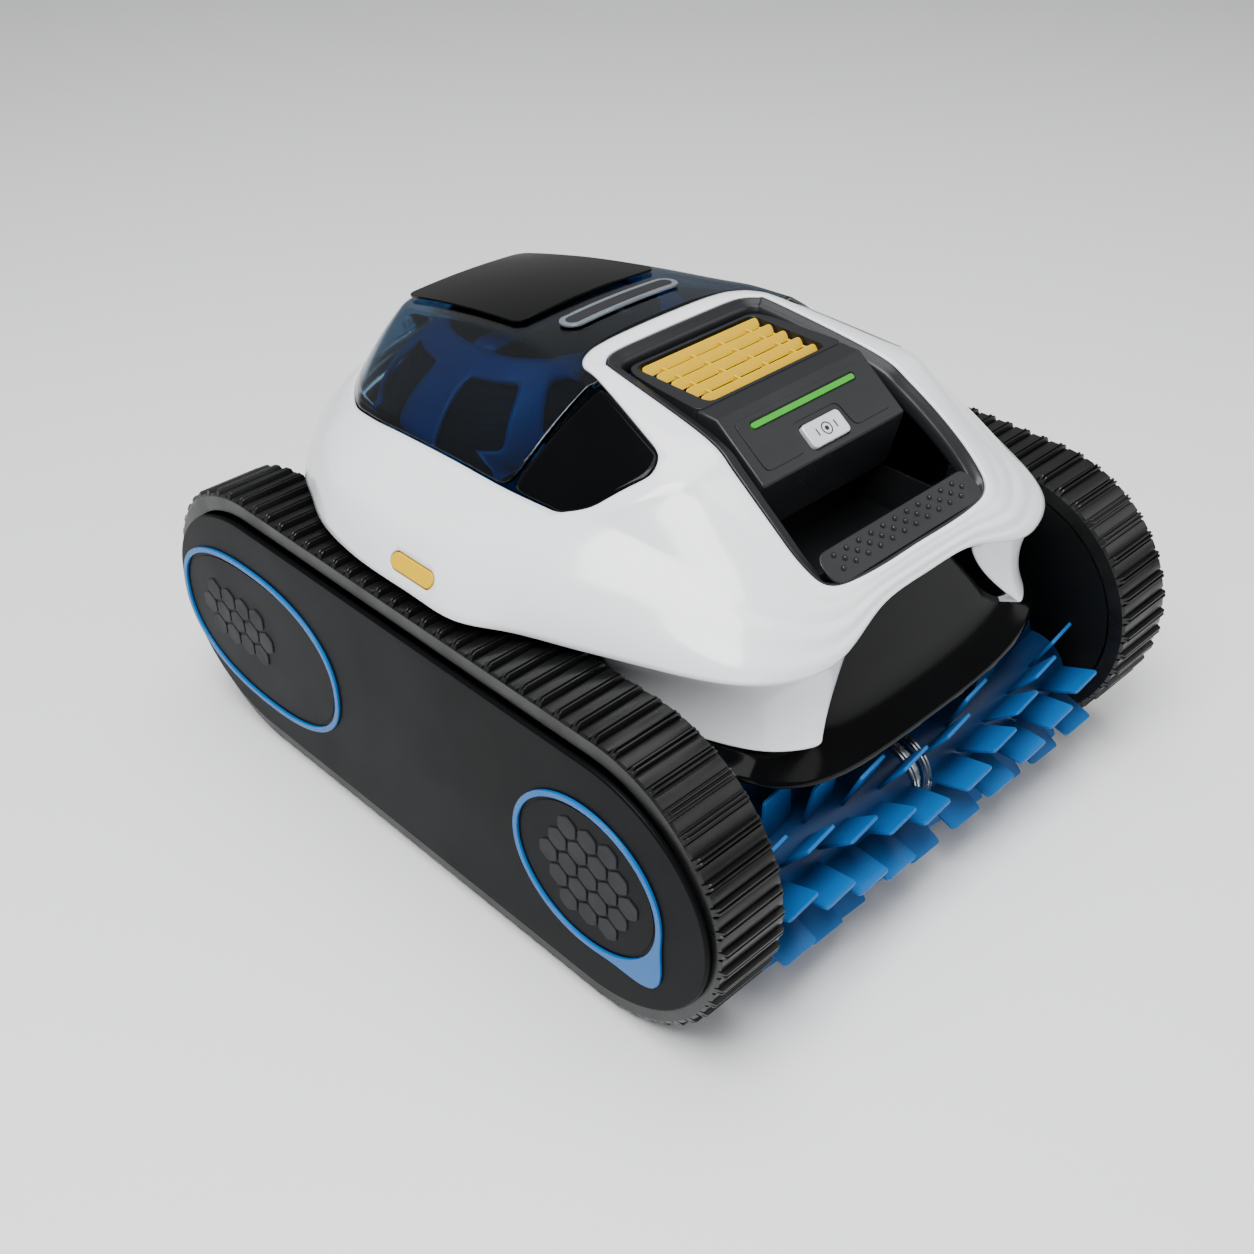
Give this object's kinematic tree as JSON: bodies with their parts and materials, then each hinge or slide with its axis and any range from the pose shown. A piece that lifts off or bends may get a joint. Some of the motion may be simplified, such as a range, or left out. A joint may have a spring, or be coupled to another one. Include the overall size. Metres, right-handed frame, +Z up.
{
  "type": "tracked pool cleaner robot",
  "caption": "Cordless tracked pool cleaning robot with a hinged tinted lid over a lift-out filter basket, rubber belts, front roller brushes and a top outlet grille.",
  "frame": {"origin": "on the floor under the middle of the two tracks, at the centre of the whole object's footprint", "axes": "+X towards the track on the right when the robot is seen from the front, +Y towards the rear with the lid hinge, +Z up"},
  "size_m": [0.4, 0.456, 0.2683],
  "materials": {
    "white_shell": "cool white high-gloss moulded ABS",
    "tinted_dome": "dark blue tinted clear polycarbonate, polished",
    "black_gloss": "piano black polished plastic",
    "badge_silver": "grey silver painted plastic",
    "charcoal_satin": "charcoal satin moulded ABS with a fine texture",
    "black_moulded": "black moulded ABS",
    "grey_moulded": "mid grey moulded ABS",
    "track_rubber": "black moulded track rubber",
    "blue_trim": "bright blue gloss plastic",
    "brush_rubber": "blue satin brush rubber",
    "blue_basket": "deep blue satin moulded ABS",
    "filter_mesh": "fine black filter mesh",
    "yellow_moulded": "yellow satin moulded ABS",
    "green_light": "green light guide",
    "silver_button": "silver white painted button",
    "stainless_steel": "turned stainless steel",
    "motor_can": "zinc plated motor can",
    "battery_wrap": "heat shrink battery wrap"
  },
  "bodies": {
    "chassis": {"upper_shell": "white_shell", "fender_left": "white_shell", "fender_right": "white_shell", "side_window_left": "black_gloss", "side_window_right": "black_gloss", "front_hood": "black_gloss", "trim_frame": "charcoal_satin", "control_housing": "charcoal_satin", "grip_pad": "charcoal_satin", "side_cover_left": "charcoal_satin", "side_cover_right": "charcoal_satin", "lower_chassis": "black_moulded", "hand_well": "black_moulded", "outlet_duct": "black_moulded", "charge_port": "black_moulded", "control_box": "black_moulded", "track_inner_plate_left": "black_moulded", "track_inner_plate_right": "black_moulded", "hex_plate_front_left": "grey_moulded", "hex_plate_front_right": "grey_moulded", "hex_plate_rear_left": "grey_moulded", "hex_plate_rear_right": "grey_moulded", "track_belt_left": "track_rubber", "track_belt_right": "track_rubber", "ring_front_left": "blue_trim", "ring_front_right": "blue_trim", "ring_rear_left": "blue_trim", "ring_rear_right": "blue_trim", "exhaust_grille": "yellow_moulded", "light_bar": "green_light", "hinge_pin": "stainless_steel", "brush_bearing": "stainless_steel", "belly_screw_left": "stainless_steel", "belly_screw_right": "stainless_steel", "idler_axle_left": "stainless_steel", "idler_axle_right": "stainless_steel", "pump_motor": "motor_can", "drive_motor_left": "motor_can", "drive_motor_right": "motor_can", "battery_pack": "battery_wrap"},
    "lid": {"dome_lid": "tinted_dome", "lid_panel": "black_gloss", "badge_strip": "badge_silver"},
    "basket": {"filter_basket": "blue_basket", "basket_lid": "blue_basket", "filter_mesh": "filter_mesh"},
    "impeller": {"impeller": "grey_moulded"},
    "power_button": {"power_button": "silver_button"},
    "charge_cap": {"charge_cap": "black_moulded"},
    "intake_flap": {"intake_flap": "grey_moulded"},
    "rear_wheel_left": {"drive_wheel_left": "black_moulded", "drive_shaft_left": "stainless_steel"},
    "front_wheel_left": {"idler_wheel_left": "black_moulded"},
    "brush_left": {"brush_left": "brush_rubber"},
    "release_button_left": {"release_button_left": "yellow_moulded"},
    "rear_wheel_right": {"drive_wheel_right": "black_moulded", "drive_shaft_right": "stainless_steel"},
    "front_wheel_right": {"idler_wheel_right": "black_moulded"},
    "brush_right": {"brush_right": "brush_rubber"},
    "release_button_right": {"release_button_right": "yellow_moulded"}
  },
  "joints": [
    {"name": "lid_hinge", "type": "hinge", "parent": "chassis", "child": "lid", "pos_m": [0, 0.2085, 0.205], "axis": [-1, 0, 0], "range_deg": [0, 75]},
    {"name": "basket_lift", "type": "slide", "parent": "chassis", "child": "basket", "axis": [0, 0, 1], "range_m": [0, 0.06]},
    {"name": "impeller_spin", "type": "hinge", "parent": "chassis", "child": "impeller", "pos_m": [0, -0.047, 0.16], "axis": [0, 0, 1], "continuous": true},
    {"name": "power_button_press", "type": "slide", "parent": "chassis", "child": "power_button", "axis": [0, 0.5879, -0.8089], "range_m": [0, 0.0015], "stiffness_N_per_m": 600},
    {"name": "charge_cap_hinge", "type": "hinge", "parent": "chassis", "child": "charge_cap", "pos_m": [0, 0.2, 0.163], "axis": [1, 0, 0], "range_deg": [0, 110]},
    {"name": "intake_flap_hinge", "type": "hinge", "parent": "chassis", "child": "intake_flap", "pos_m": [0, 0.121, 0.0244], "axis": [-1, 0, 0], "range_deg": [0, 60]},
    {"name": "rear_wheel_left_spin", "type": "hinge", "parent": "chassis", "child": "rear_wheel_left", "pos_m": [-0.172, 0.141, 0.087], "axis": [1, 0, 0], "continuous": true},
    {"name": "front_wheel_left_spin", "type": "hinge", "parent": "chassis", "child": "front_wheel_left", "pos_m": [-0.172, -0.141, 0.087], "axis": [1, 0, 0], "continuous": true},
    {"name": "brush_left_spin", "type": "hinge", "parent": "chassis", "child": "brush_left", "pos_m": [-0.072, -0.176, 0.056], "axis": [1, 0, 0], "continuous": true},
    {"name": "release_button_left_press", "type": "slide", "parent": "chassis", "child": "release_button_left", "axis": [0.8518, 0, -0.5239], "range_m": [0, 0.0025], "stiffness_N_per_m": 500},
    {"name": "rear_wheel_right_spin", "type": "hinge", "parent": "chassis", "child": "rear_wheel_right", "pos_m": [0.172, 0.141, 0.087], "axis": [1, 0, 0], "continuous": true},
    {"name": "front_wheel_right_spin", "type": "hinge", "parent": "chassis", "child": "front_wheel_right", "pos_m": [0.172, -0.141, 0.087], "axis": [1, 0, 0], "continuous": true},
    {"name": "brush_right_spin", "type": "hinge", "parent": "chassis", "child": "brush_right", "pos_m": [0.072, -0.176, 0.056], "axis": [1, 0, 0], "continuous": true},
    {"name": "release_button_right_press", "type": "slide", "parent": "chassis", "child": "release_button_right", "axis": [-0.8518, 0, -0.5239], "range_m": [0, 0.0025], "stiffness_N_per_m": 500}
  ],
  "couplings": [
    {"joint": "basket_lift", "follows": "lid_hinge", "m_per_rad": 0.0458},
    {"joint": "front_wheel_left_spin", "follows": "rear_wheel_left_spin", "ratio": 1},
    {"joint": "brush_left_spin", "follows": "rear_wheel_left_spin", "ratio": 1.7},
    {"joint": "front_wheel_right_spin", "follows": "rear_wheel_right_spin", "ratio": 1},
    {"joint": "brush_right_spin", "follows": "rear_wheel_right_spin", "ratio": 1.7}
  ]
}
